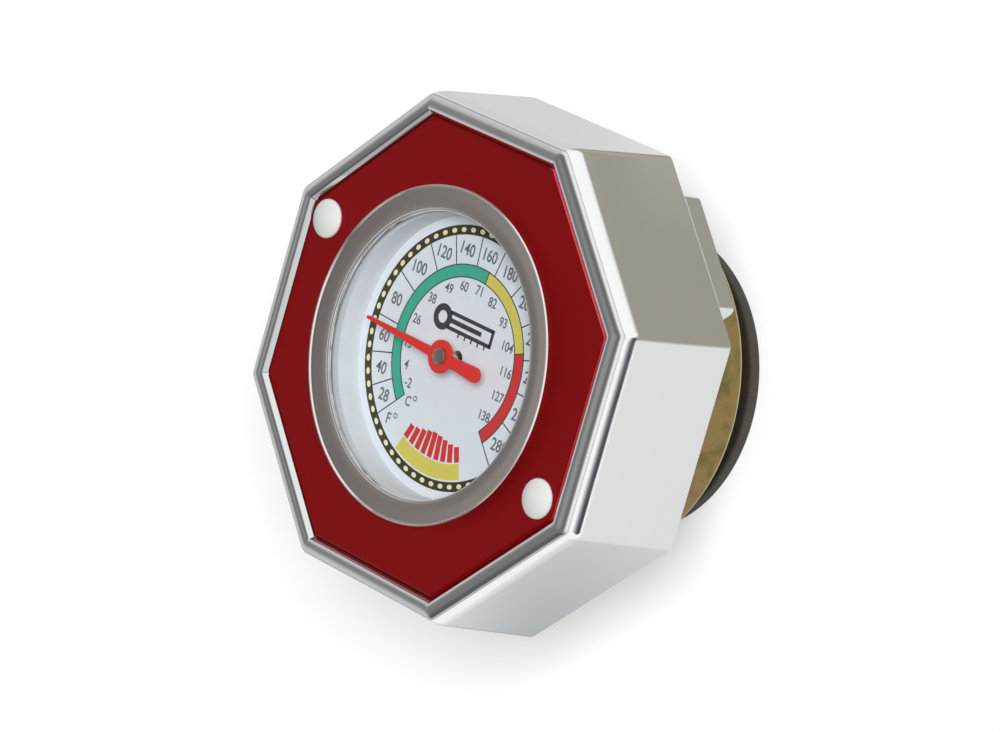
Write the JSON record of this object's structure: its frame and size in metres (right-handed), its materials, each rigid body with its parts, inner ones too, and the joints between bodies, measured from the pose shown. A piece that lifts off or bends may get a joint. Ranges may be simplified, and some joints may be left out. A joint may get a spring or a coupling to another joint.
{
  "type": "radiator cap thermometer",
  "caption": "Octagonal chromed radiator cap with a dial thermometer in its face, a bayonet cup with ears, and spring-loaded pressure and vacuum valves round the probe.",
  "frame": {"origin": "middle of the neck gasket's lower face, where the rim of the filler neck seats", "axes": "+Z along the cap's axis towards the dial, +Y towards the dial's upright, +X to the dial's right"},
  "size_m": [0.072, 0.072, 0.0456],
  "materials": {
    "chrome_plate": "polished chrome plate on a die casting and on pressed steel",
    "red_anodised_aluminium": "red anodised, satin",
    "satin_aluminium": "satin",
    "case_steel": "plain drawn steel",
    "satin_steel": "satin face with polished edges",
    "clear_lens": "clear",
    "black_rubber": "moulded",
    "white_ring": "moulded, white",
    "dial_enamel": "printed enamel",
    "pointer_red": "painted",
    "nickel_plate": "turned",
    "stainless_steel": "bright",
    "brass": "turned",
    "bimetal_strip": "rolled strip",
    "yellow_zinc_steel": "yellow passivated zinc plate",
    "spring_steel": "drawn wire",
    "seal_rubber": "moulded"
  },
  "bodies": {
    "cap": {"housing": "chrome_plate", "face_plate": "red_anodised_aluminium", "face_rivets": "satin_aluminium", "gauge_case": "case_steel", "bezel": "satin_steel", "lens": "clear_lens", "lens_gasket": "black_rubber", "dial_ring": "white_ring", "dial": "dial_enamel", "spindle_bush": "brass", "stem_bush": "brass", "lock_nut": "brass", "probe_tube": "stainless_steel", "probe_plug": "stainless_steel", "bimetal_coil": "bimetal_strip", "cap_shell": "chrome_plate", "shell_screws": "stainless_steel", "bayonet_cup": "yellow_zinc_steel", "diaphragm": "stainless_steel", "neck_gasket": "black_rubber", "guide_tube": "yellow_zinc_steel", "pressure_spring": "spring_steel"},
    "needle": {"pointer": "pointer_red", "pointer_boss": "nickel_plate", "spindle": "stainless_steel"},
    "pressure_valve": {"valve_plate": "yellow_zinc_steel", "valve_sleeve": "yellow_zinc_steel", "pressure_seal": "seal_rubber", "seal_retainer": "stainless_steel", "vacuum_spring": "spring_steel"},
    "vacuum_valve": {"vacuum_disc": "brass", "probe_seal": "black_rubber", "vacuum_clip": "spring_steel"}
  },
  "joints": [
    {"name": "needle_turn", "type": "hinge", "parent": "cap", "child": "needle", "pos_m": [0, 0, 0.0222], "axis": [0, 0, 1], "range_deg": [-223, 47], "stiffness_Nm_per_rad": 0.0005, "deforming": ["bimetal_coil"]},
    {"name": "pressure_lift", "type": "slide", "parent": "cap", "child": "pressure_valve", "axis": [0, 0, 1], "range_m": [0, 0.003], "stiffness_N_per_m": 2600, "springref_m": -0.004, "deforming": ["pressure_spring"]},
    {"name": "vacuum_drop", "type": "slide", "parent": "pressure_valve", "child": "vacuum_valve", "axis": [0, 0, -1], "range_m": [0, 0.0014], "stiffness_N_per_m": 250, "springref_m": -0.0012, "deforming": ["vacuum_spring"]}
  ]
}
